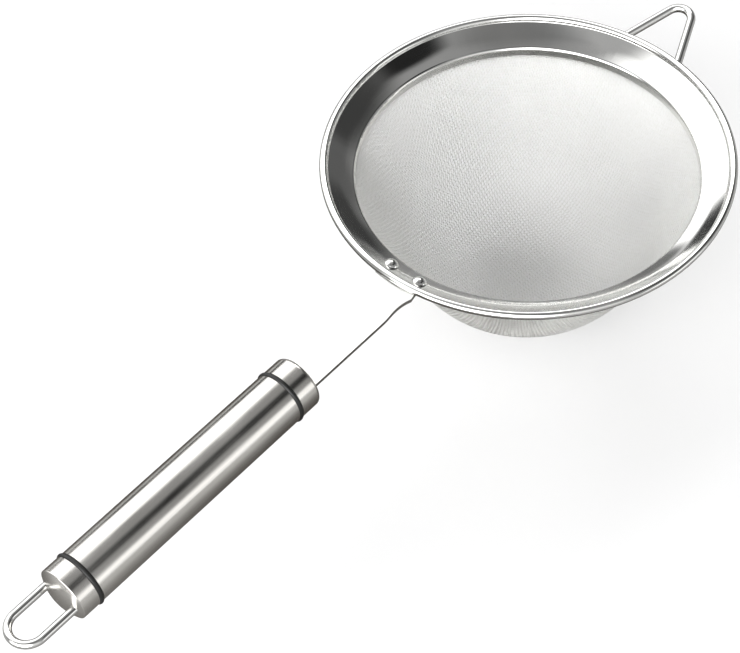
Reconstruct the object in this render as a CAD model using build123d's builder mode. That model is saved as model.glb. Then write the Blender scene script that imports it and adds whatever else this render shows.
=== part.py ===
"""Hand strainer: a deep round bowl of two woven wire layers in a flanged rim, on a round handle.

Frame: origin at the centre of the bowl's mouth, at the top of the rim's cylindrical wall.
+Z is up, out of the mouth. +X runs from the mouth to the handle. Millimetres.
"""

import math
import os

from build123d import *

os.makedirs("parts", exist_ok=True)

# ---- driving dimensions -------------------------------------------------------------------------
CLEAR = 0.05                # gap between pieces that are pressed or clamped together

# rim band, one sheet: collar, flange and rolled bead
SHEET = 0.6                 # thickness of the band's sheet
MOUTH_R = 74.8              # inside of the collar
COLLAR_BOTTOM_Z = -2.6
COLLAR_BEND_R = 1.5         # bend from collar to flange, on the middle of the sheet
FLANGE_INNER_DEG = 21.5     # slope of the flange at the collar
FLANGE_OUTER_DEG = 37.0     # slope of the flange at the bead
GROOVE_R = 0.9              # inside bend from flange up into the bead
RIM_R = 90.0                # outermost radius of the strainer's rim
RIM_Z = 7.9                 # height of the bead's centre over the mouth
BEAD_R = 1.8                # outside radius of the rolled bead
CURL_DEG = 300.0            # how far the sheet is rolled round

# clamp ring, which holds the mesh's edge against the outside of the collar
CLAMP_BORE_R = 76.95
CLAMP_SHEET = 0.6
CLAMP_BOTTOM_Z = -5.8
CLAMP_TOP_Z = 1.3           # it meets the flange from below
CLAMP_EDGE_R = 0.2

# bowl: skirt round the collar, straight conical wall, ball-shaped bottom (outside surface)
SKIRT_R = 76.9
SKIRT_TOP_Z = 0.2
KNEE_Z = -5.2               # where the skirt turns into the conical wall
BALL_R = 63.3
BALL_Z = -15.9              # height of the ball's centre
OUTER_WEAVE = 0.7           # thickness of the backing weave
INNER_WEAVE = 0.65          # thickness of the fine weave
WEAVE_GAP = 0.1

# rest hook opposite the handle
HOOK_WIRE_R = 1.9
HOOK_TILT_DEG = 13.7        # the loop rises away from the rim
HOOK_X = -86.9              # where the wire passes under the bead
HOOK_FOOT = 4.3             # length of wire from there inward, under the flange
HOOK_VERTEX = 40.5          # the two legs' lines meet this far outside the bead
HOOK_HALF_DEG = 21.4
HOOK_TIP_R = 6.3            # bend at the tip, on the wire's centre

# neck strip and its rivets
STRIP = 1.8                 # thickness of the strip
RIVET_RING_R = 81.0         # the rivets sit at this radius, on the flange
RIVET_DEG = 5.4             # and this far to each side of the strip's middle
RIVET_SHANK_R = 1.5
RIVET_HEAD_R = 3.2
RIVET_HEAD = 2.0            # height of the domed head
RIVET_HEAD_GAP = 0.2        # keeps the flat underside of the head off the hollow flange
RIVET_TAIL_R = 2.4
RIVET_TAIL = 0.8
RIVET_TAIL_GAP = 0.5        # the flange curves away from the flat pad beside its middle
RIVET_DRILL = 4.5           # half depth of the drilling through flange and pad
PAD_TOUCH_X = 80.6          # the pad lies along the flange's slope here
PAD_START_X = 78.7
PAD_HALF = 10.5             # half width of the pad under the flange
PAD_END_X = 89.2
CREST_X = 84.6
CREST_BEND_R = 4.0
SHANK_HALF = 7.0            # half width of the straight shank
SHANK_START_X = 99.4
SHANK_BEND_X = 99.8         # where the strip levels out on the handle's axis
SHANK_BEND_R = 14.3
TANG_HALF = 6.0
TANG_START_X = 149.0
TANG_END_X = 196.0

# handle, round about an axis along X
HANDLE_Z = -2.8
HANDLE_R = 11.75
FRONT_X = 146.0             # front face of the front cap
FRONT_RING_X = 157.3        # centre of the front rubber ring
REAR_RING_X = 267.1
REAR_X = 276.0              # rear edge of the rear cap
REAR_DOME = 3.2             # the end face bulges this far beyond its edge
TUBE_WALL = 1.0
RING_R = 1.05               # section radius of the rubber rings
RING_SEAT_R = 10.25
RING_SEAT_HALF = 1.1        # half the gap between cap and tube that the ring fills
SPIGOT_R = 10.7
SPIGOT = 12.0               # length of a cap's spigot inside the tube
CAP_BORE_R = 9.2
CAP_WALL = 1.2
SLOT_PLAY = 0.4             # how much larger the front cap's slot is than the strip
FRONT_EDGE_R = 1.8
REAR_EDGE_R = 0.5
REAR_POCKET_R = 5.6
REAR_POCKET_END_X = 272.5

# hanging loop
LOOP_WIRE_R = 1.7
LOOP_SPACING = 15.7         # between the legs' centres
LOOP_END_X = 301.2          # furthest point of the wire's centre
ANCHOR_R = 10.2
ANCHOR = 2.0
LOOP_HEAD_R = 2.4
LOOP_HEAD = 1.2

# pieces inside the handle
PLUG_START_X = 172.0
PLUG_END_X = 202.0
PIN_X = 187.0
PIN_R = 1.5
PIN_HALF = 9.0

# ---- worked out from them -----------------------------------------------------------------------
HANDLE_AXIS = Axis((0, 0, HANDLE_Z), (1, 0, 0))
HANDLE_SIDE = Plane(origin=(0, 0, HANDLE_Z), x_dir=(1, 0, 0), z_dir=(0, -1, 0))
HANDLE_TOP = Plane.XY.offset(HANDLE_Z)
TUBE_BORE_R = HANDLE_R - TUBE_WALL

curl_r = BEAD_R - SHEET / 2                      # middle of the sheet in the bead
bead_ring_r = RIM_R - BEAD_R                     # radius of the ring that the bead's centre makes
collar_r = MOUTH_R + SHEET / 2
flange_in = math.radians(FLANGE_INNER_DEG)
flange_out = math.radians(FLANGE_OUTER_DEG)

# middle line of the flange: one arc from the collar bend to the groove
flange_start_r = collar_r + COLLAR_BEND_R * (1 - math.sin(flange_in))
flange_end_r = bead_ring_r - curl_r - GROOVE_R * (1 - math.sin(flange_out))
flange_end_z = RIM_Z - GROOVE_R * math.cos(flange_out)
flange_arc_r = (flange_end_r - flange_start_r) / (math.sin(flange_out) - math.sin(flange_in))
flange_start_z = flange_end_z - flange_arc_r * (math.cos(flange_in) - math.cos(flange_out))
collar_top_z = flange_start_z - COLLAR_BEND_R * math.cos(flange_in)


def flange_at(r):
    """Height and slope (radians) of the flange's middle line at radius r."""
    slope = math.asin(math.sin(flange_in) + (r - flange_start_r) / flange_arc_r)
    return flange_start_z + flange_arc_r * (math.cos(flange_in) - math.cos(slope)), slope


# the bowl's conical wall runs from the knee to where it touches the ball
knee_reach = math.hypot(SKIRT_R, KNEE_Z - BALL_Z)
touch_deg = math.degrees(math.atan2(KNEE_Z - BALL_Z, SKIRT_R) - math.acos(BALL_R / knee_reach))
knee_shift = math.tan(math.radians(-touch_deg / 2))   # the knee's rise for each mm of offset


def bowl_layer(outside, thickness):
    """A weave layer as a shell: its outer face lies `outside` mm within the bowl's outside."""
    touch = math.radians(touch_deg)
    depths = (outside, outside + thickness)
    with BuildPart() as layer:
        with BuildSketch(Plane.XZ):
            with BuildLine():
                walls = []
                for depth in depths:
                    r = BALL_R - depth
                    top = (SKIRT_R - depth, SKIRT_TOP_Z)
                    knee = (SKIRT_R - depth, KNEE_Z + depth * knee_shift)
                    touch_point = (r * math.cos(touch), BALL_Z + r * math.sin(touch))
                    Line(top, knee)
                    Line(knee, touch_point)
                    CenterArc((0, BALL_Z), r, -90, 90 + touch_deg)
                    walls.append((top, (0, BALL_Z - r)))
                Line(walls[0][0], walls[1][0])
                Line(walls[0][1], walls[1][1])
            make_face()
        revolve(axis=Axis.Z)
    return layer


def rubber_ring(x):
    """Round-section ring that sits on the spigot between a cap and the tube."""
    with BuildPart() as ring:
        with BuildSketch(HANDLE_SIDE):
            with Locations((x, RING_SEAT_R + RING_R + CLEAR / 2)):
                Circle(RING_R)
        revolve(axis=HANDLE_AXIS)
    return ring


def finish(part, label):
    part.label = label
    export_step(part, f"parts/{label}.step")


# ---- rim band -----------------------------------------------------------------------------------
def rivet_seat(side):
    """Plane on the middle of the flange's sheet at one rivet: x up the slope, z out of the flange."""
    turn = math.radians(side * RIVET_DEG)
    height, slope = flange_at(RIVET_RING_R)
    outward = Vector(math.cos(turn), math.sin(turn), 0)
    return Plane(
        origin=outward * RIVET_RING_R + Vector(0, 0, height),
        x_dir=outward * math.cos(slope) + Vector(0, 0, math.sin(slope)),
        z_dir=outward * -math.sin(slope) + Vector(0, 0, math.cos(slope)),
    )


rivet_seats = [rivet_seat(-1), rivet_seat(1)]

with BuildPart() as rim_band:
    with BuildSketch(Plane.XZ):
        with BuildLine():
            Line((collar_r, COLLAR_BOTTOM_Z), (collar_r, collar_top_z))
            JernArc((collar_r, collar_top_z), (0, 1), COLLAR_BEND_R, FLANGE_INNER_DEG - 90)
            JernArc(
                (flange_start_r, flange_start_z),
                (math.cos(flange_in), math.sin(flange_in)),
                flange_arc_r,
                FLANGE_OUTER_DEG - FLANGE_INNER_DEG,
            )
            JernArc(
                (flange_end_r, flange_end_z),
                (math.cos(flange_out), math.sin(flange_out)),
                GROOVE_R,
                90 - FLANGE_OUTER_DEG,
            )
            JernArc((bead_ring_r - curl_r, RIM_Z), (0, 1), curl_r, -CURL_DEG)
        trace(line_width=SHEET)
    revolve(axis=Axis.Z)
    with BuildSketch(*rivet_seats):
        Circle(RIVET_SHANK_R + CLEAR)
    extrude(amount=RIVET_DRILL, both=True, mode=Mode.SUBTRACT)
finish(rim_band.part, "rim_band")

with BuildPart() as rim_edge_wire:
    with BuildSketch(Plane.XZ):
        with Locations((bead_ring_r, RIM_Z)):
            Circle(BEAD_R - SHEET - CLEAR)
    revolve(axis=Axis.Z)
finish(rim_edge_wire.part, "rim_edge_wire")

# ---- mesh clamp ring ----------------------------------------------------------------------------
with BuildPart() as mesh_clamp_ring:
    with BuildSketch(Plane.XZ):
        with Locations((CLAMP_BORE_R, CLAMP_BOTTOM_Z)):
            Rectangle(
                CLAMP_SHEET, CLAMP_TOP_Z - CLAMP_BOTTOM_Z, align=(Align.MIN, Align.MIN)
            )
    revolve(axis=Axis.Z)
    clamp_edges = mesh_clamp_ring.edges().filter_by(GeomType.CIRCLE)
    fillet(clamp_edges, radius=CLAMP_EDGE_R)
finish(mesh_clamp_ring.part, "mesh_clamp_ring")

# ---- the two weave layers -----------------------------------------------------------------------
outer_mesh = bowl_layer(0, OUTER_WEAVE)
finish(outer_mesh.part, "outer_mesh")

inner_mesh = bowl_layer(OUTER_WEAVE + WEAVE_GAP, INNER_WEAVE)
finish(inner_mesh.part, "inner_mesh")

# ---- rest hook: one wire, its feet welded under the flange --------------------------------------
hook_tilt = math.radians(HOOK_TILT_DEG)
hook_half = math.radians(HOOK_HALF_DEG)
hook_z = RIM_Z - (BEAD_R + HOOK_WIRE_R + CLEAR) / math.cos(hook_tilt)
hook_plane = Plane(
    origin=(HOOK_X, 0, hook_z),
    x_dir=(-math.cos(hook_tilt), 0, math.sin(hook_tilt)),
    z_dir=(math.sin(hook_tilt), 0, math.cos(hook_tilt)),
)
foot_half = (HOOK_VERTEX + HOOK_FOOT) * math.tan(hook_half)

with BuildPart() as rest_hook:
    with BuildLine(hook_plane):
        hook_path = FilletPolyline(
            (-HOOK_FOOT, -foot_half), (HOOK_VERTEX, 0), (-HOOK_FOOT, foot_half), radius=HOOK_TIP_R
        )
    with BuildSketch(Plane(origin=hook_path @ 0, z_dir=hook_path % 0)):
        Circle(HOOK_WIRE_R)
    sweep(path=hook_path)
finish(rest_hook.part, "rest_hook")

# ---- neck strip: pad, crest, fall, straight shank and tang --------------------------------------
touch_z, pad_slope = flange_at(PAD_TOUCH_X)
pad_drop = (SHEET / 2 + STRIP / 2 + CLEAR) / math.cos(pad_slope)


def pad_z(x):
    """Height of the pad's middle line: a straight line that just clears the flange."""
    return touch_z - pad_drop + (x - PAD_TOUCH_X) * math.tan(pad_slope)


with BuildPart() as neck_strip:
    with BuildSketch(Plane.XZ):
        with BuildLine():
            fall = FilletPolyline(
                (PAD_START_X, pad_z(PAD_START_X)),
                (CREST_X, pad_z(CREST_X)),
                (SHANK_BEND_X, HANDLE_Z),
                (TANG_END_X, HANDLE_Z),
                radius=(CREST_BEND_R, SHANK_BEND_R),
            )
        trace(line_width=STRIP)
    extrude(amount=PAD_HALF, both=True)
    with BuildSketch(Plane.XY.offset(-20)):
        with BuildLine() as outline:
            Line((PAD_START_X - 2, 0), (PAD_START_X - 2, PAD_HALF))
            Line((PAD_START_X - 2, PAD_HALF), (PAD_END_X, PAD_HALF))
            flare = TangentArc((SHANK_START_X, SHANK_HALF), (PAD_END_X, PAD_HALF), tangent=(-1, 0))
            Line((SHANK_START_X, SHANK_HALF), (TANG_START_X, SHANK_HALF))
            Line((TANG_START_X, SHANK_HALF), (TANG_START_X, TANG_HALF))
            Line((TANG_START_X, TANG_HALF), (TANG_END_X + 1, TANG_HALF))
            Line((TANG_END_X + 1, TANG_HALF), (TANG_END_X + 1, 0))
            mirror(about=Plane.XZ)
        make_face()
    extrude(amount=40, mode=Mode.INTERSECT)
    with BuildSketch(*rivet_seats):
        Circle(RIVET_SHANK_R + CLEAR)
    extrude(amount=RIVET_DRILL, both=True, mode=Mode.SUBTRACT)
    with BuildSketch(HANDLE_TOP):
        with Locations((PIN_X, 0)):
            Circle(PIN_R + CLEAR)
    extrude(amount=STRIP, both=True, mode=Mode.SUBTRACT)
finish(neck_strip.part, "neck_strip")

# ---- rivets: domed head on the flange, shank, flat tail under the pad ---------------------------
head_base = SHEET / 2 + RIVET_HEAD_GAP
tail_base = SHEET / 2 + STRIP + RIVET_TAIL_GAP
dome_r = (RIVET_HEAD_R**2 + RIVET_HEAD**2) / (2 * RIVET_HEAD)

with BuildPart() as neck_rivets:
    for seat in rivet_seats:
        with BuildSketch(Plane(origin=seat.origin, x_dir=seat.x_dir, z_dir=-seat.y_dir)):
            with BuildLine():
                Polyline(
                    (0, head_base + RIVET_HEAD),
                    (0, -tail_base - RIVET_TAIL),
                    (RIVET_TAIL_R, -tail_base - RIVET_TAIL),
                    (RIVET_TAIL_R, -tail_base),
                    (RIVET_SHANK_R, -tail_base),
                    (RIVET_SHANK_R, head_base),
                    (RIVET_HEAD_R, head_base),
                )
                RadiusArc((RIVET_HEAD_R, head_base), (0, head_base + RIVET_HEAD), -dome_r)
            make_face()
        revolve(axis=Axis(seat.origin, seat.z_dir))
finish(neck_rivets.part, "neck_rivets")

# ---- handle: front cap, tube, rear cap and the two rubber rings ---------------------------------
front_shoulder = FRONT_RING_X - RING_SEAT_HALF
tube_start = FRONT_RING_X + RING_SEAT_HALF
tube_end = REAR_RING_X - RING_SEAT_HALF
rear_shoulder = REAR_RING_X + RING_SEAT_HALF
rear_dome_r = (HANDLE_R**2 + REAR_DOME**2) / (2 * REAR_DOME)

with BuildPart() as handle_front_cap:
    with BuildSketch(HANDLE_SIDE):
        with BuildLine():
            Polyline(
                (FRONT_X, 0),
                (FRONT_X, HANDLE_R),
                (front_shoulder, HANDLE_R),
                (front_shoulder, RING_SEAT_R),
                (tube_start, RING_SEAT_R),
                (tube_start, SPIGOT_R),
                (tube_start + SPIGOT, SPIGOT_R),
                (tube_start + SPIGOT, CAP_BORE_R),
                (FRONT_X + CAP_WALL, CAP_BORE_R),
                (FRONT_X + CAP_WALL, 0),
                close=True,
            )
        make_face()
    revolve(axis=HANDLE_AXIS)
    front_edge = handle_front_cap.edges().filter_by(GeomType.CIRCLE).group_by(Axis.X)[0]
    fillet(front_edge.sort_by(SortBy.RADIUS)[-1], radius=FRONT_EDGE_R)
    with BuildSketch(Plane.YZ.offset(FRONT_X - 1)):
        with Locations((0, HANDLE_Z)):
            Rectangle(2 * SHANK_HALF + SLOT_PLAY, STRIP + SLOT_PLAY)
    extrude(amount=CAP_WALL + 2, mode=Mode.SUBTRACT)
finish(handle_front_cap.part, "handle_front_cap")

with BuildPart() as handle_tube:
    with BuildSketch(Plane.YZ.offset(tube_start)):
        with Locations((0, HANDLE_Z)):
            Circle(HANDLE_R)
            Circle(TUBE_BORE_R, mode=Mode.SUBTRACT)
    extrude(amount=tube_end - tube_start)
finish(handle_tube.part, "handle_tube")

with BuildPart() as handle_rear_cap:
    with BuildSketch(HANDLE_SIDE):
        with BuildLine():
            Polyline(
                (REAR_POCKET_END_X, 0),
                (REAR_POCKET_END_X, REAR_POCKET_R),
                (tube_end - SPIGOT / 2, REAR_POCKET_R),
                (tube_end - SPIGOT / 2, SPIGOT_R),
                (tube_end, SPIGOT_R),
                (tube_end, RING_SEAT_R),
                (rear_shoulder, RING_SEAT_R),
                (rear_shoulder, HANDLE_R),
                (REAR_X, HANDLE_R),
            )
            RadiusArc((REAR_X, HANDLE_R), (REAR_X + REAR_DOME, 0), rear_dome_r)
            Line((REAR_X + REAR_DOME, 0), (REAR_POCKET_END_X, 0))
        make_face()
    revolve(axis=HANDLE_AXIS)
    rear_edge = handle_rear_cap.edges().filter_by_position(Axis.X, REAR_X - CLEAR, REAR_X + CLEAR)
    fillet(rear_edge, radius=REAR_EDGE_R)
    with BuildSketch(Plane.YZ.offset(tube_end - SPIGOT)):
        with Locations((LOOP_SPACING / 2, HANDLE_Z), (-LOOP_SPACING / 2, HANDLE_Z)):
            Circle(LOOP_WIRE_R + CLEAR)
    extrude(amount=REAR_X + REAR_DOME - tube_end + SPIGOT, mode=Mode.SUBTRACT)
finish(handle_rear_cap.part, "handle_rear_cap")

finish(rubber_ring(FRONT_RING_X).part, "front_o_ring")
finish(rubber_ring(REAR_RING_X).part, "rear_o_ring")

# ---- hanging loop, riveted over a plate behind the rear cap's spigot ----------------------------
anchor_end = tube_end - SPIGOT / 2 - CLEAR
anchor_start = anchor_end - ANCHOR
leg_start = anchor_start - CLEAR - LOOP_HEAD
leg_y = LOOP_SPACING / 2

with BuildPart() as hanging_loop:
    with BuildLine(HANDLE_TOP):
        legs_end = LOOP_END_X - leg_y
        near_leg = Line((leg_start, leg_y), (legs_end, leg_y))
        turn = ThreePointArc((legs_end, leg_y), (LOOP_END_X, 0), (legs_end, -leg_y))
        far_leg = Line((legs_end, -leg_y), (leg_start, -leg_y))
    with BuildSketch(Plane.YZ.offset(leg_start)):
        with Locations((leg_y, HANDLE_Z)):
            Circle(LOOP_WIRE_R)
    sweep()
    with BuildSketch(Plane.YZ.offset(leg_start)):
        with Locations((leg_y, HANDLE_Z), (-leg_y, HANDLE_Z)):
            Circle(LOOP_HEAD_R)
    extrude(amount=LOOP_HEAD)
finish(hanging_loop.part, "hanging_loop")

with BuildPart() as loop_anchor_plate:
    with BuildSketch(Plane.YZ.offset(anchor_start)):
        with Locations((0, HANDLE_Z)):
            Circle(ANCHOR_R)
        with Locations((leg_y, HANDLE_Z), (-leg_y, HANDLE_Z)):
            Circle(LOOP_WIRE_R + CLEAR, mode=Mode.SUBTRACT)
    extrude(amount=ANCHOR)
finish(loop_anchor_plate.part, "loop_anchor_plate")

# ---- plug and pin that hold the strip's tang in the tube ----------------------------------------
with BuildPart() as tang_plug:
    with BuildSketch(Plane.YZ.offset(PLUG_START_X)):
        with Locations((0, HANDLE_Z)):
            Circle(TUBE_BORE_R - CLEAR)
    extrude(amount=PLUG_END_X - PLUG_START_X)
    with BuildSketch(Plane.YZ.offset(PLUG_START_X - 1)):
        with Locations((0, HANDLE_Z)):
            Rectangle(2 * (TANG_HALF + CLEAR), STRIP + 2 * CLEAR)
    extrude(amount=TANG_END_X - PLUG_START_X + 2, mode=Mode.SUBTRACT)
    with BuildSketch(HANDLE_TOP):
        with Locations((PIN_X, 0)):
            Circle(PIN_R + CLEAR)
    extrude(amount=PIN_HALF + CLEAR, both=True, mode=Mode.SUBTRACT)
finish(tang_plug.part, "tang_plug")

with BuildPart() as tang_pin:
    with BuildSketch(HANDLE_TOP):
        with Locations((PIN_X, 0)):
            Circle(PIN_R)
    extrude(amount=PIN_HALF, both=True)
finish(tang_pin.part, "tang_pin")
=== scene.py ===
"""Looks for the hand strainer: woven wire bowl, polished rim, satin handle, and a plain studio.

Metres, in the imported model's frame: origin at the middle of the bowl's mouth, +Z out of the mouth,
+X towards the handle.
"""

import math

import bpy
import numpy as np
from mathutils import Matrix, Vector


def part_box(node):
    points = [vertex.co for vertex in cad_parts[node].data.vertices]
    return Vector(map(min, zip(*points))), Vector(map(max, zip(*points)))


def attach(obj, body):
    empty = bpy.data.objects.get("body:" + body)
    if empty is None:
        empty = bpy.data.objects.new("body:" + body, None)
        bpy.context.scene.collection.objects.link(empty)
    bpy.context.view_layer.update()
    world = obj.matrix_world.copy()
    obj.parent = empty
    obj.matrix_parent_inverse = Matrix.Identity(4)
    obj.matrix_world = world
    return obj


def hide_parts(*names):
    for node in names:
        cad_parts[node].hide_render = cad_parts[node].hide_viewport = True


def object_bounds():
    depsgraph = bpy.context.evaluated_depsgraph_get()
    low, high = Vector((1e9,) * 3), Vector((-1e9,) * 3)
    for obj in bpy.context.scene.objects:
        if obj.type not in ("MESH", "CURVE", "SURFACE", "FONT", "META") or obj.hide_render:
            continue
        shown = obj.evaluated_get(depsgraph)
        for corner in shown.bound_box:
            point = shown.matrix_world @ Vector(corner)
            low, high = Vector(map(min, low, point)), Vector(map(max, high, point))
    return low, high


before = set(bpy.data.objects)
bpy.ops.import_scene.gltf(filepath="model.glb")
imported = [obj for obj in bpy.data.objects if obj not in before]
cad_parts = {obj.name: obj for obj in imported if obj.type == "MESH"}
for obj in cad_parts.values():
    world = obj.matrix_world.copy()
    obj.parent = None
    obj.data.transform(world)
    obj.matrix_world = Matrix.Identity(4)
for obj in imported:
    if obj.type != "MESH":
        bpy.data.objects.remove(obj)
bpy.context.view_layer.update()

MM = 0.001

# ---- the bowl that the wires are drawn over -----------------------------------------------------
BALL_R = 63.3 * MM              # outside radius of the ball-shaped bottom
KNEE_Z = -5.2 * MM              # where the upright edge turns into the sloping wall
BACKING_PITCH = 1.6 * MM        # one wire to the next
BACKING_WIRE_R = 0.2 * MM
BACKING_DEPTH = 0.41 * MM       # middle of the layer, in from the bowl's outside
BACKING_TURN = 81.0             # degrees from the handle's line to the layer's wires
FINE_PITCH = 1.24 * MM
FINE_WIRE_R = 0.155 * MM
FINE_DEPTH = 1.16 * MM
FINE_TURN = 46.0
CUT_Z = -0.4 * MM               # the wires are cut off here, inside the clamp ring
SPARE = 4 * MM                  # drawn beyond the cut, then trimmed
DRAW_STEPS = 8                  # rounds of the solver that draws the cloth down
PIECES_PER_FAMILY = 3           # each family of wires is shared out over this many pieces
ROUNDING = 1e-9

# ---- unevenness shared by all the materials ------------------------------------------------------
CLOUD_CELLS = 45.0              # per metre: soft clouds about 2 cm across
CLOUD_SHARE = 0.45              # of the roughness, the rest follows the finer marks
NOISE_LOW = 0.35                # the roughness runs through its range between these two levels
NOISE_HIGH = 0.65
WEAVE_CELLS = (700, 700, 700)

# ---- camera -------------------------------------------------------------------------------------
CAMERA_AIM = Vector((0.1089, 0.0052, 0.0))
CAMERA_AZIMUTH = 44.9           # from +X towards +Y
CAMERA_ELEVATION = 51.2
CAMERA_ROLL = -4.3
CAMERA_DISTANCE = 0.787
CAMERA_LENS = 93.6


def rgba(code):
    """Linear colour from an sRGB hex code."""
    parts = [int(code[i : i + 2], 16) / 255 for i in (1, 3, 5)]
    return [c / 12.92 if c <= 0.04045 else ((c + 0.055) / 1.055) ** 2.4 for c in parts] + [1.0]


def add(tree, kind, links=None, sockets=None, **settings):
    """Adds a node, sets its settings and sockets, and links other nodes' outputs into it."""
    node = tree.nodes.new(kind)
    for key, value in settings.items():
        setattr(node, key, value)
    for key, value in (sockets or {}).items():
        node.inputs[key].default_value = value
    for key, output in (links or {}).items():
        tree.links.new(output, node.inputs[key])
    return node


def new_material(name, colour, roughness, **sockets):
    """A material, a metal unless told otherwise. Returns it with its tree and its shader."""
    material = bpy.data.materials.new(name)
    material.use_nodes = True
    tree = material.node_tree
    shader = tree.nodes["Principled BSDF"]
    shader.inputs["Base Color"].default_value = rgba(colour)
    shader.inputs["Metallic"].default_value = 1.0
    shader.inputs["Roughness"].default_value = roughness
    for key, value in sockets.items():
        shader.inputs[key].default_value = value
    return material, tree, shader


def dress(node, material):
    """Gives a CAD node its material."""
    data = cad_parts[node].data
    data.materials.clear()
    data.materials.append(material)


def deselect():
    """Leaves nothing selected."""
    bpy.ops.object.select_all(action="DESELECT")


# ---- the weave: two families of wires drawn down over the bowl -----------------------------------
skirt_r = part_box("outer_mesh")[1].x
ball_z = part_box("outer_mesh")[0].z + BALL_R
touch = math.atan2(KNEE_Z - ball_z, skirt_r) - math.acos(
    BALL_R / math.hypot(skirt_r, KNEE_Z - ball_z)
)


def bowl_distance(points, depth):
    """Signed distance from the bowl's skin at that depth, and the direction straight out of it."""
    around = np.hypot(points[:, 0], points[:, 1])
    height = points[:, 2] - ball_z
    reach = np.hypot(around, height)
    low = np.arctan2(height, around) < touch
    distance = np.where(
        low, reach, around * math.cos(touch) + height * math.sin(touch)
    ) - (BALL_R - depth)
    out = np.where(low, around / reach, math.cos(touch))
    up = np.where(low, height / reach, math.sin(touch))
    upright = around - (skirt_r - depth) > distance
    distance = np.where(upright, around - (skirt_r - depth), distance)
    out, up = np.where(upright, 1, out), np.where(upright, 0, up)
    side = points[:, :2] / np.maximum(around, ROUNDING)[:, None]
    return distance, np.column_stack([side * out[:, None], up])


def meridian(steps, depth):
    """Radius and height at those lengths of wire from the bowl's lowest point."""
    radius = BALL_R - depth
    ball_length = radius * (touch + math.pi / 2)
    touch_point = radius * np.array([math.cos(touch), math.sin(touch)]) + (0, ball_z)
    knee = np.array([skirt_r - depth, KNEE_Z + depth * math.tan(-touch / 2)])
    wall = np.linalg.norm(knee - touch_point)
    turn = np.minimum(steps, ball_length) / radius - math.pi / 2
    ball = radius * np.column_stack([np.cos(turn), np.sin(turn)]) + (0, ball_z)
    along = np.clip(steps - ball_length, 0, wall)[:, None] / wall
    rise = np.maximum(steps - ball_length - wall, 0)
    line = ball + (knee - touch_point) * along
    line[:, 1] += rise
    return line, ball_length + wall


def draw_cloth(pitch, depth):
    """One quarter of a square wire cloth drawn over the bowl: every crossing keeps its distance
    from its neighbours along both wires."""
    count = int((meridian(np.zeros(1), depth)[1] - KNEE_Z + SPARE) / pitch)
    cloth = np.full((count + 1, count + 1, 3), np.nan)
    line = meridian(np.arange(count + 1) * pitch, depth)[0]
    none = np.zeros(count + 1)
    cloth[:, 0] = np.column_stack([line[:, 0], none, line[:, 1]])
    cloth[0, :] = np.column_stack([none, line[:, 0], line[:, 1]])
    for both in range(2, 2 * count + 1):
        i = np.arange(max(1, both - count), min(count, both - 1) + 1)
        j = both - i
        here = (np.fmin(cloth[i - 1, j, 2], cloth[i, j - 1, 2]) < SPARE) & np.isfinite(
            cloth[i - 1, j, 2] + cloth[i, j - 1, 2]
        )
        i, j = i[here], j[here]
        if not len(i):
            continue
        left, below = cloth[i - 1, j], cloth[i, j - 1]
        point = left + below - cloth[i - 1, j - 1]
        for _ in range(DRAW_STEPS):
            off, normal = bowl_distance(point, depth)
            error = np.column_stack(
                [
                    ((point - left) ** 2).sum(1) - pitch**2,
                    ((point - below) ** 2).sum(1) - pitch**2,
                    off * pitch,
                ]
            )
            slopes = np.stack([2 * (point - left), 2 * (point - below), normal * pitch], 1)
            point = point - np.linalg.solve(slopes, error[:, :, None])[:, :, 0]
        cloth[i, j] = point
    return cloth


def thread(cloth, depth, turn, wire_r, row, across):
    """Points of one wire, over one crossing and under the next. Row counts from the middle."""
    reach = cloth.shape[0] - 1
    points = []
    for step in range(-reach, reach + 1):
        pair = (row, step) if across else (step, row)
        point = cloth[abs(pair[0]), abs(pair[1])]
        if np.isfinite(point).all() and point[2] < CUT_Z:
            over = 1 if ((row + step) % 2 == 0) == across else -1
            points.append((*(point[:2] * [-1 if n < 0 else 1 for n in pair]), point[2], over))
    if len(points) < 2:
        return np.zeros((0, 3))
    points = np.array(points)
    normal = bowl_distance(points[:, :3], depth)[1]
    woven = points[:, :3] + normal * points[:, 3:] * wire_r
    cosine, sine = math.cos(math.radians(turn)), math.sin(math.radians(turn))
    turned = woven[:, :2] @ np.array([[cosine, sine], [-sine, cosine]])
    return np.column_stack([turned, woven[:, 2]])


def weave_piece(name, threads, wire_r, material, stands_for):
    """One mesh of square-sectioned wires with closed ends."""
    curve = bpy.data.curves.new(name, "CURVE")
    curve.dimensions = "3D"
    curve.bevel_depth = wire_r
    curve.bevel_resolution = 0
    curve.use_fill_caps = True
    for points in threads:
        spline = curve.splines.new("POLY")
        spline.points.add(len(points) - 1)
        spline.points.foreach_set("co", np.column_stack([points, np.ones(len(points))]).ravel())
        spline.use_smooth = True
    piece = bpy.data.objects.new(name, curve)
    bpy.context.scene.collection.objects.link(piece)
    deselect()
    piece.select_set(True)
    bpy.context.view_layer.objects.active = piece
    bpy.ops.object.convert(target="MESH")
    piece = bpy.context.object
    piece.name = name
    bpy.ops.object.shade_smooth()
    piece.data.materials.append(material)
    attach(piece, "root")
    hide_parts(stands_for)
    return piece


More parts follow.
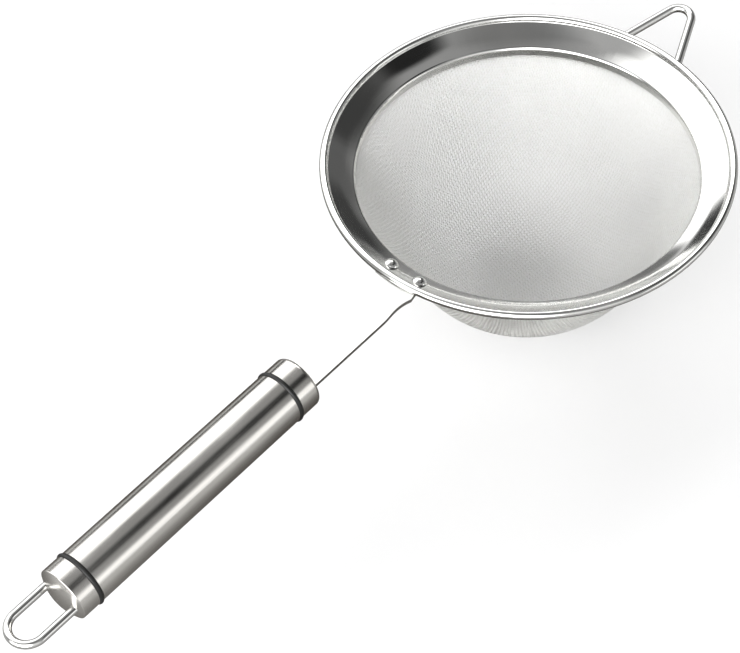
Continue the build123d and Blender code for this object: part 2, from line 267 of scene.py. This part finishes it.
def weave(name, pitch, depth, turn, wire_r, material, stands_for):
    """A whole layer of wire cloth, each family of wires in a few pieces."""
    cloth = draw_cloth(pitch, depth)
    reach = cloth.shape[0] - 1
    for across, family in ((True, "warp"), (False, "weft")):
        rows = [
            thread(cloth, depth, turn, wire_r, row, across) for row in range(-reach, reach + 1)
        ]
        rows = [points for points in rows if len(points) > 1]
        share = np.cumsum([len(points) for points in rows]) / sum(len(p) for p in rows)
        for part in range(PIECES_PER_FAMILY):
            low = part / PIECES_PER_FAMILY
            high = (part + 1) / PIECES_PER_FAMILY + ROUNDING
            mine = [points for points, place in zip(rows, share) if low < place <= high]
            weave_piece(
                f"{name}_{family}_{part + 1}", mine, wire_r, material, stands_for
            )


# ---- materials ----------------------------------------------------------------------------------
def grain(tree, shader, cells, roughness, relief, along=None):
    """Noise with that many cells per metre gives a shader its range of roughness and its relief.
    A second, soft noise adds the clouds that hands and wiping leave. Returns both noises."""
    where = add(tree, "ShaderNodeTexCoord")
    scaled = add(
        tree, "ShaderNodeMapping", {0: along or where.outputs["Object"]}, {"Scale": cells}
    )
    marks = add(tree, "ShaderNodeTexNoise", {0: scaled.outputs[0]}, {"Scale": 1.0, "Detail": 3.0})
    clouds = add(
        tree, "ShaderNodeTexNoise", {0: where.outputs["Object"]},
        {"Scale": CLOUD_CELLS, "Detail": 2.0},
    )
    mixed = add(
        tree, "ShaderNodeMix", {2: marks.outputs[0], 3: clouds.outputs[0]},
        {0: CLOUD_SHARE}, data_type="FLOAT",
    )
    gloss = add(
        tree, "ShaderNodeMapRange", {"Value": mixed.outputs[0]},
        {
            "From Min": NOISE_LOW, "From Max": NOISE_HIGH,
            "To Min": roughness[0], "To Max": roughness[1],
        },
    )
    tree.links.new(gloss.outputs[0], shader.inputs["Roughness"])
    bump = add(tree, "ShaderNodeBump", {"Height": marks.outputs[0]}, {"Distance": relief})
    tree.links.new(bump.outputs[0], shader.inputs["Normal"])
    return marks.outputs[0], clouds.outputs[0]


def tint(tree, shader, signal, dark, light):
    """Lets the colour run between two hex codes with a noise."""
    shade = add(
        tree, "ShaderNodeMix", {0: signal}, {6: rgba(dark), 7: rgba(light)}, data_type="RGBA"
    )
    tree.links.new(shade.outputs[2], shader.inputs["Base Color"])


def around_axis(tree):
    """Distance from the bowl's upright axis, and height: rings when it is used as a place."""
    where = add(tree, "ShaderNodeTexCoord")
    flat = add(
        tree, "ShaderNodeVectorMath", {0: where.outputs["Object"]},
        {1: (1, 1, 0)}, operation="MULTIPLY",
    )
    radius = add(tree, "ShaderNodeVectorMath", {0: flat.outputs[0]}, operation="LENGTH")
    height = add(tree, "ShaderNodeSeparateXYZ", {0: where.outputs["Object"]})
    return add(
        tree, "ShaderNodeCombineXYZ", {"X": radius.outputs["Value"], "Y": height.outputs["Z"]}
    ).outputs[0]


# Inner cloth: near white, lighter than real stainless steel, a painted highlight that makes up for the
# fine shade between the wires; with a slightly uneven shine from wire to wire.
fine_steel, tree, shader = new_material("stainless_wire_drawn_and_woven", "#ffffff", 0.6)
marks, _ = grain(tree, shader, WEAVE_CELLS, (0.5, 0.7), 0.01 * MM)
tint(tree, shader, marks, "#f1f1ee", "#ffffff")

# The outer cloth is the same steel coloured a shade darker: painted shade for the gaps between the two
# layers, so the layers part where they cross.
backing_steel, tree, shader = new_material("stainless_wire_drawn_and_woven_outer", "#f2f2ef", 0.6)
marks, _ = grain(tree, shader, WEAVE_CELLS, (0.5, 0.7), 0.01 * MM)
tint(tree, shader, marks, "#e6e6e2", "#ffffff")

# Mirror polish with faint rings from the polishing wheel. The real rings are about 0.1 mm apart;
# they are drawn 0.6 mm apart, so they show.
rim_steel, tree, shader = new_material("stainless_sheet_spun_and_mirror_polished", "#dcdcda", 0.08)
_, clouds = grain(tree, shader, (1600, 1600, 1), (0.05, 0.13), 0.0012 * MM, around_axis(tree))
tint(tree, shader, clouds, "#d2d3d2", "#e6e5e2")

# Drawn and electropolished rod: a liquid shine, barely uneven.
wire_steel, tree, shader = new_material("stainless_rod_drawn_and_electropolished", "#dededc", 0.07)
_, clouds = grain(tree, shader, (420, 420, 420), (0.04, 0.11), 0.004 * MM)
tint(tree, shader, clouds, "#d4d4d2", "#e6e6e4")

# Stamped strip, tumbled in stones: soft dents too shallow to feel take the edge off its mirror.
strip_steel, tree, shader = new_material("stainless_strip_stamped_and_tumbled", "#d6d6d4", 0.18)
_, clouds = grain(tree, shader, (900, 900, 900), (0.1, 0.22), 0.006 * MM)
tint(tree, shader, clouds, "#ccccca", "#e0e0de")

# Rivet heads keep a few round marks of the heading tool.
rivet_steel, tree, shader = new_material("stainless_rivet_cold_headed", "#e0e0de", 0.09)
_, clouds = grain(tree, shader, (1100, 1100, 1100), (0.06, 0.14), 0.003 * MM)
tint(tree, shader, clouds, "#d2d2d0", "#e8e8e6")

# Satin ground along the handle. Real lines are about 0.05 mm wide; drawn 0.3 mm wide, so they show.
satin_steel, tree, shader = new_material("stainless_tube_satin_ground_lengthwise", "#d8d6d2", 0.22)
_, clouds = grain(tree, shader, (28, 3200, 3200), (0.15, 0.27), 0.003 * MM)
tint(tree, shader, clouds, "#cbc8c3", "#dedcd8")

# Moulded rubber: the mould's fine spark texture keeps it from shining like paint.
rubber, tree, shader = new_material("nitrile_rubber_moulded", "#151515", 0.45, Metallic=0.0)
_, clouds = grain(tree, shader, (2400, 2400, 2400), (0.38, 0.58), 0.02 * MM)
tint(tree, shader, clouds, "#0e0e0f", "#1d1d1c")

# Turned nylon with the lathe's fine grooves.
nylon, tree, shader = new_material("nylon_turned", "#d9d6cc", 0.5, Metallic=0.0)
_, clouds = grain(tree, shader, (3000, 60, 60), (0.4, 0.6), 0.02 * MM)
tint(tree, shader, clouds, "#cfcbbf", "#e2dfd6")

# Weld: dull, with a straw-brown heat tint that comes and goes in small patches.
weld_steel, tree, shader = new_material("stainless_spot_weld_brushed_clean", "#b9b2a6", 0.3)
marks, _ = grain(tree, shader, (1500, 1500, 1500), (0.25, 0.42), 0.02 * MM)
tint(tree, shader, marks, "#8f8474", "#c9c5bd")

for node, material in {
    "rim_band": rim_steel,
    "rim_edge_wire": wire_steel,
    "mesh_clamp_ring": rim_steel,
    "rest_hook": wire_steel,
    "neck_strip": strip_steel,
    "neck_rivets": rivet_steel,
    "handle_front_cap": satin_steel,
    "handle_tube": satin_steel,
    "handle_rear_cap": satin_steel,
    "front_o_ring": rubber,
    "rear_o_ring": rubber,
    "hanging_loop": wire_steel,
    "tang_plug": nylon,
    "tang_pin": wire_steel,
    "loop_anchor_plate": strip_steel,
    "inner_mesh": fine_steel,
    "outer_mesh": backing_steel,
}.items():
    dress(node, material)

weave(
    "fine_weave", FINE_PITCH, FINE_DEPTH, FINE_TURN, FINE_WIRE_R,
    fine_steel, "inner_mesh",
)
weave(
    "backing_weave", BACKING_PITCH, BACKING_DEPTH, BACKING_TURN, BACKING_WIRE_R,
    backing_steel, "outer_mesh",
)

# ---- weld beads that hold the hook's feet under the flange --------------------------------------
WELD_HALF = (2.4 * MM, 1.5 * MM, 0.9 * MM)   # half length along the foot, half width, half height
WELD_PLACE = Vector((-83.6, 17.0, 4.6)) * MM
FOOT_TURN = math.radians(21.4)          # each foot leans this far from the handle's line
WELD_UNEVEN = 0.12 * MM
WELD_SEED = 7


def weld_bead(side):
    """A small lump of weld with an uneven skin, on the foot at that side of the middle."""
    deselect()
    bpy.ops.mesh.primitive_uv_sphere_add(segments=20, ring_count=10, radius=1.0)
    bead = bpy.context.object
    bead.name = "hook_weld_left" if side > 0 else "hook_weld_right"
    bpy.ops.object.mode_set(mode="EDIT")
    bpy.ops.mesh.select_all(action="SELECT")
    bpy.ops.transform.resize(value=WELD_HALF, center_override=(0, 0, 0))
    bpy.ops.transform.vertex_random(offset=WELD_UNEVEN, seed=WELD_SEED + side)
    bpy.ops.transform.rotate(value=side * FOOT_TURN, orient_axis="Z", center_override=(0, 0, 0))
    bpy.ops.transform.translate(value=(WELD_PLACE.x, side * WELD_PLACE.y, WELD_PLACE.z))
    bpy.ops.mesh.normals_make_consistent(inside=False)
    bpy.ops.object.mode_set(mode="OBJECT")
    bpy.ops.object.modifier_add(type="SUBSURF")
    bead.modifiers[0].levels = 1
    bead.modifiers[0].render_levels = 1
    bpy.ops.object.modifier_apply(modifier=bead.modifiers[0].name)
    bpy.ops.object.shade_smooth()
    bead.data.materials.append(weld_steel)
    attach(bead, "root")


weld_bead(1)
weld_bead(-1)

# ---- studio -------------------------------------------------------------------------------------
ROOM_GREY = (0.36, 0.36, 0.36, 1)
WHITE = (1, 1, 1, 1)
FLOOR_HALF = 4.0
FLOOR_GAP = 0.2 * MM            # the strainer stands this much above the floor
FLOOR_PAPER = (0.86, 0.86, 0.86, 1)
FLOOR_GLOW = 0.3                # share of plain white in what the camera sees of the floor
SHADE = (0.0, -0.1)             # painted shadow: reflections show the floor darker around here; the camera sees it plain
SHADE_REACH = (0.3, 0.19)
SHADE_FULL = 0.6                # in reaches from its middle: dark inside the first
SHADE_END = 1.9                 # and fully pale outside the second
SHADE_DARK = (0.075, 0.067, 0.06, 1)
SHADE_PALE = (0.45, 0.45, 0.445, 1)


def direction(azimuth, elevation):
    """Unit vector towards that azimuth (from +X towards +Y) and elevation."""
    a, e = math.radians(azimuth), math.radians(elevation)
    return Vector((math.cos(a) * math.cos(e), math.sin(a) * math.cos(e), math.sin(e)))


world = bpy.data.worlds.new("studio")
bpy.context.scene.world = world
world.use_nodes = True
tree = world.node_tree
tree.nodes.clear()
where = add(tree, "ShaderNodeTexCoord")
colour = None
ZONES = [
    # azimuth, elevation, inner and outer edge in degrees, grey level
    (45, 6, 30, 55, 1.0),
    (12, 20, 30, 45, 4.8),
    (-20, 60, 10, 26, 0.5),
    (5, 78, 4, 14, 0.36),
    (112, 2, 14, 23, 1.6),
    (-150, 44, 7, 17, 4.0),
    (-95, 34, 32, 44, 2.0),
    (60, 76, 6, 20, 0.22),
    (158, 37, 9, 24, 0.06),
    (125, 54, 7, 16, 0.02),
    (182, 22, 7, 15, 0.13),
    (-167, 10, 6, 14, 0.06),
    (-129, 12, 3, 8, 0.22),
    (-112, 1, 10, 15, 0.05),
]
for azimuth, elevation, inner, outer, level in ZONES:
    toward = add(
        tree, "ShaderNodeVectorMath", {0: where.outputs["Generated"]},
        {1: direction(azimuth, elevation)}, operation="DOT_PRODUCT",
    )
    window = add(
        tree, "ShaderNodeMapRange", {"Value": toward.outputs["Value"]},
        {"From Min": math.cos(math.radians(outer)), "From Max": math.cos(math.radians(inner))},
        interpolation_type="SMOOTHSTEP",
    )
    links = {0: window.outputs["Result"]}
    if colour is not None:
        links[6] = colour
    mixed = add(
        tree, "ShaderNodeMix", links,
        {6: ROOM_GREY, 7: (level, level, level, 1)}, data_type="RGBA",
    )
    colour = mixed.outputs[2]
path = add(tree, "ShaderNodeLightPath")
seen = add(
    tree, "ShaderNodeMix", {0: path.outputs["Is Camera Ray"], 6: colour},
    {7: WHITE}, data_type="RGBA",
)
glow = add(tree, "ShaderNodeBackground", {"Color": seen.outputs[2]})
add(tree, "ShaderNodeOutputWorld", {"Surface": glow.outputs[0]})

deselect()
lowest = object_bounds()[0].z
bpy.ops.mesh.primitive_plane_add(size=2 * FLOOR_HALF, location=(0, 0, lowest - FLOOR_GAP))
floor = bpy.context.object
floor.name = "floor"
paint = bpy.data.materials.new("floor_white")
paint.use_nodes = True
tree = paint.node_tree
tree.nodes.clear()
path = add(tree, "ShaderNodeLightPath")
where = add(tree, "ShaderNodeTexCoord")
centred = add(
    tree, "ShaderNodeMapping", {0: where.outputs["Object"]},
    {
        "Location": (-SHADE[0] / SHADE_REACH[0], -SHADE[1] / SHADE_REACH[1], 0),
        "Scale": (1 / SHADE_REACH[0], 1 / SHADE_REACH[1], 1),
    },
)
apart = add(tree, "ShaderNodeVectorMath", {0: centred.outputs[0]}, operation="LENGTH")
near = add(
    tree, "ShaderNodeMapRange", {"Value": apart.outputs["Value"]},
    {"From Min": SHADE_FULL, "From Max": SHADE_END}, interpolation_type="SMOOTHSTEP",
)
# Painted shadow seen only in reflections: the floor dark around the strainer, paler further out.
reflected_floor_shade = add(
    tree, "ShaderNodeMix", {0: near.outputs[0]},
    {6: SHADE_DARK, 7: SHADE_PALE}, data_type="RGBA",
)
shown = add(
    tree, "ShaderNodeMix", {0: path.outputs["Is Camera Ray"], 6: reflected_floor_shade.outputs[2]},
    {7: FLOOR_PAPER}, data_type="RGBA",
)
matt = add(tree, "ShaderNodeBsdfDiffuse", {"Color": shown.outputs[2]})
bright = add(tree, "ShaderNodeEmission", sockets={"Color": WHITE, "Strength": 1.0})
share = add(
    tree, "ShaderNodeMath", {0: path.outputs["Is Camera Ray"]},
    {1: FLOOR_GLOW}, operation="MULTIPLY",
)
both = add(
    tree, "ShaderNodeMixShader",
    {0: share.outputs[0], 1: matt.outputs[0], 2: bright.outputs[0]},
)
add(tree, "ShaderNodeOutputMaterial", {"Surface": both.outputs[0]})
floor.data.materials.append(paint)

camera_data = bpy.data.cameras.new("camera")
camera_data.lens = CAMERA_LENS
camera = bpy.data.objects.new("camera", camera_data)
bpy.context.scene.collection.objects.link(camera)
back = direction(CAMERA_AZIMUTH, CAMERA_ELEVATION)
camera.matrix_world = (
    Matrix.Translation(CAMERA_AIM + back * CAMERA_DISTANCE)
    @ back.to_track_quat("Z", "Y").to_matrix().to_4x4()
    @ Matrix.Rotation(math.radians(CAMERA_ROLL), 4, "Z")
)
bpy.context.scene.camera = camera
bpy.context.scene.view_settings.view_transform = "Standard"

bpy.context.view_layer.update()
